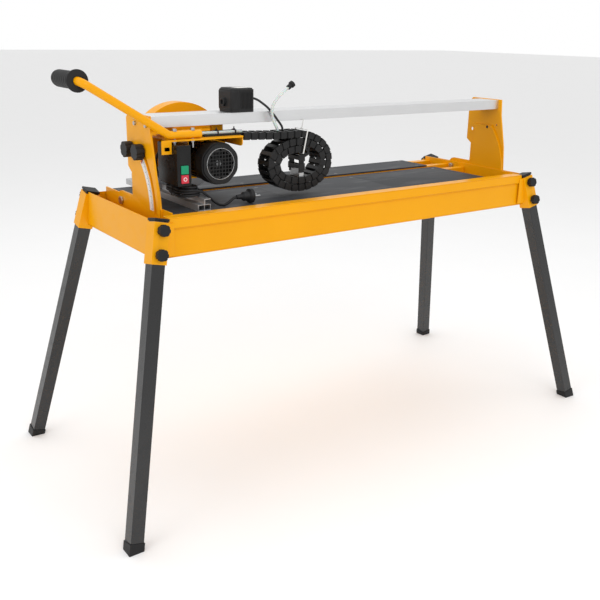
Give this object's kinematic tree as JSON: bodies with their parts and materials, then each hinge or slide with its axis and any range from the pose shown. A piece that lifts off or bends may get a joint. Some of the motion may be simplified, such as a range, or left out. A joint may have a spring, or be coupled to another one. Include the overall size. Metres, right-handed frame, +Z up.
{
  "type": "tile cutter",
  "caption": "Bridge tile cutter: motor and blade on a carriage under a tilting aluminium rail, over a water tub and coated table on splayed legs.",
  "frame": {"origin": "on the floor, at the centre of the four feet", "axes": "+X along the rail towards the free end, +Y to the back, +Z up"},
  "size_m": [1.676, 0.7672, 1.112],
  "materials": {
    "yellow_paint": "gloss powder coat",
    "black_paint": "semi-gloss",
    "black_plastic": "satin",
    "box_plastic": "gloss",
    "table_coating": "fine matt texture",
    "steel": "zinc plated",
    "blade_steel": "ground",
    "red_mark": "gloss",
    "scale_label": "printed film",
    "rail_aluminium": "satin anodised",
    "roller_plastic": "smooth",
    "grip_rubber": "ribbed",
    "stator_copper": "varnished winding",
    "green_button": "gloss",
    "red_button": "gloss",
    "cord_rubber": "matt",
    "clear_hose": "clear, slightly milky"
  },
  "bodies": {
    "stand": {"tub": "yellow_paint", "corner_sockets": "yellow_paint", "legs": "black_paint", "leg_end_caps": "black_plastic", "table_frame": "yellow_paint", "front_table": "table_coating", "rear_table": "table_coating", "table_screws": "steel", "stay_plates": "yellow_paint", "pivot_bolts": "steel", "scale_pointer": "red_mark"},
    "leg_knob_1": {"leg_knob_1": "black_plastic"},
    "leg_knob_2": {"leg_knob_2": "black_plastic"},
    "leg_knob_3": {"leg_knob_3": "black_plastic"},
    "leg_knob_4": {"leg_knob_4": "black_plastic"},
    "leg_knob_5": {"leg_knob_5": "black_plastic"},
    "leg_knob_6": {"leg_knob_6": "black_plastic"},
    "leg_knob_7": {"leg_knob_7": "black_plastic"},
    "leg_knob_8": {"leg_knob_8": "black_plastic"},
    "tilt_knob_left": {"tilt_knob_left": "black_plastic"},
    "tilt_knob_right": {"tilt_knob_right": "black_plastic"},
    "fence": {"rip_fence": "rail_aluminium"},
    "bridge": {"left_post": "yellow_paint", "right_post": "yellow_paint", "angle_scale": "scale_label", "rail": "rail_aluminium", "rail_screws": "steel"},
    "stop_knob": {"stop_knob": "black_plastic"},
    "carriage": {"carriage_plate": "yellow_paint", "trolley_hangers": "yellow_paint", "handle_tube": "yellow_paint", "handle_grip": "grip_rubber", "motor_housing": "black_paint", "fan_cover": "black_plastic", "motor_stator": "stator_copper", "motor_bearings": "steel", "motor_cradle": "yellow_paint", "blade_guard": "yellow_paint", "switch_box": "box_plastic", "pump_box": "black_plastic", "chain_arm": "black_plastic", "cable_chain": "black_plastic", "chain_bracket": "steel", "pump_cord": "cord_rubber", "water_hose": "clear_hose", "hose_connector": "black_plastic", "mains_cord": "cord_rubber", "mains_hank": "cord_rubber", "plug_body": "black_plastic", "plug_pins": "steel"},
    "roller_1": {"roller_1": "roller_plastic"},
    "roller_2": {"roller_2": "roller_plastic"},
    "roller_3": {"roller_3": "roller_plastic"},
    "roller_4": {"roller_4": "roller_plastic"},
    "rotor": {"rotor_shaft": "steel", "cooling_fan": "black_plastic", "blade": "blade_steel", "blade_flanges": "steel"},
    "start_button": {"start_button": "green_button"},
    "stop_button": {"stop_button": "red_button"}
  },
  "joints": [
    {"name": "leg_knob_1_turn", "type": "hinge", "parent": "stand", "child": "leg_knob_1", "pos_m": [-0.65412, -0.23644, 0.7482], "axis": [0.0396, -0.9827, 0.1809], "continuous": true},
    {"name": "leg_knob_2_turn", "type": "hinge", "parent": "stand", "child": "leg_knob_2", "pos_m": [-0.66636, -0.24722, 0.6923], "axis": [0.0396, -0.9827, 0.1809], "continuous": true},
    {"name": "leg_knob_3_turn", "type": "hinge", "parent": "stand", "child": "leg_knob_3", "pos_m": [0.65412, -0.23644, 0.7482], "axis": [-0.0396, -0.9827, 0.1809], "continuous": true},
    {"name": "leg_knob_4_turn", "type": "hinge", "parent": "stand", "child": "leg_knob_4", "pos_m": [0.66636, -0.24722, 0.6923], "axis": [-0.0396, -0.9827, 0.1809], "continuous": true},
    {"name": "leg_knob_5_turn", "type": "hinge", "parent": "stand", "child": "leg_knob_5", "pos_m": [-0.65412, 0.23644, 0.7482], "axis": [0.0396, 0.9827, 0.1809], "continuous": true},
    {"name": "leg_knob_6_turn", "type": "hinge", "parent": "stand", "child": "leg_knob_6", "pos_m": [-0.66636, 0.24722, 0.6923], "axis": [0.0396, 0.9827, 0.1809], "continuous": true},
    {"name": "leg_knob_7_turn", "type": "hinge", "parent": "stand", "child": "leg_knob_7", "pos_m": [0.65412, 0.23644, 0.7482], "axis": [-0.0396, 0.9827, 0.1809], "continuous": true},
    {"name": "leg_knob_8_turn", "type": "hinge", "parent": "stand", "child": "leg_knob_8", "pos_m": [0.66636, 0.24722, 0.6923], "axis": [-0.0396, 0.9827, 0.1809], "continuous": true},
    {"name": "bridge_tilt", "type": "hinge", "parent": "stand", "child": "bridge", "pos_m": [0, 0.082, 0.762], "axis": [-1, 0, 0], "range_deg": [0, 45]},
    {"name": "tilt_knob_left_turn", "type": "hinge", "parent": "stand", "child": "tilt_knob_left", "pos_m": [-0.62, -0.06213, 0.90918], "axis": [-1, 0, 0], "continuous": true},
    {"name": "tilt_knob_right_turn", "type": "hinge", "parent": "stand", "child": "tilt_knob_right", "pos_m": [0.64, -0.06213, 0.90918], "axis": [1, 0, 0], "continuous": true},
    {"name": "stop_knob_turn", "type": "hinge", "parent": "bridge", "child": "stop_knob", "pos_m": [-0.62, 0, 0.90918], "axis": [-1, 0, 0], "continuous": true},
    {"name": "fence_slide", "type": "slide", "parent": "stand", "child": "fence", "axis": [1, 0, 0], "range_m": [-0.06, 0]},
    {"name": "carriage_slide", "type": "slide", "parent": "bridge", "child": "carriage", "axis": [1, 0, 0], "range_m": [0, 0.66]},
    {"name": "rotor_spin", "type": "hinge", "parent": "carriage", "child": "rotor", "pos_m": [-0.441, 0, 0.878], "axis": [0, 1, 0], "continuous": true},
    {"name": "start_button_press", "type": "slide", "parent": "carriage", "child": "start_button", "axis": [0, 1, 0], "range_m": [0, 0.002], "stiffness_N_per_m": 600, "springref_m": -0.002},
    {"name": "stop_button_press", "type": "slide", "parent": "carriage", "child": "stop_button", "axis": [0, 1, 0], "range_m": [0, 0.002], "stiffness_N_per_m": 600, "springref_m": -0.002},
    {"name": "roller_1_spin", "type": "hinge", "parent": "carriage", "child": "roller_1", "pos_m": [-0.546, -0.0705, 0.9833], "axis": [0, 1, 0], "continuous": true},
    {"name": "roller_2_spin", "type": "hinge", "parent": "carriage", "child": "roller_2", "pos_m": [-0.546, -0.0465, 0.9833], "axis": [0, 1, 0], "continuous": true},
    {"name": "roller_3_spin", "type": "hinge", "parent": "carriage", "child": "roller_3", "pos_m": [-0.401, -0.0705, 0.9833], "axis": [0, 1, 0], "continuous": true},
    {"name": "roller_4_spin", "type": "hinge", "parent": "carriage", "child": "roller_4", "pos_m": [-0.401, -0.0465, 0.9833], "axis": [0, 1, 0], "continuous": true}
  ],
  "couplings": [
    {"joint": "roller_1_spin", "follows": "carriage_slide", "rad_per_m": 100},
    {"joint": "roller_2_spin", "follows": "carriage_slide", "rad_per_m": 100},
    {"joint": "roller_3_spin", "follows": "carriage_slide", "rad_per_m": 100},
    {"joint": "roller_4_spin", "follows": "carriage_slide", "rad_per_m": 100}
  ]
}
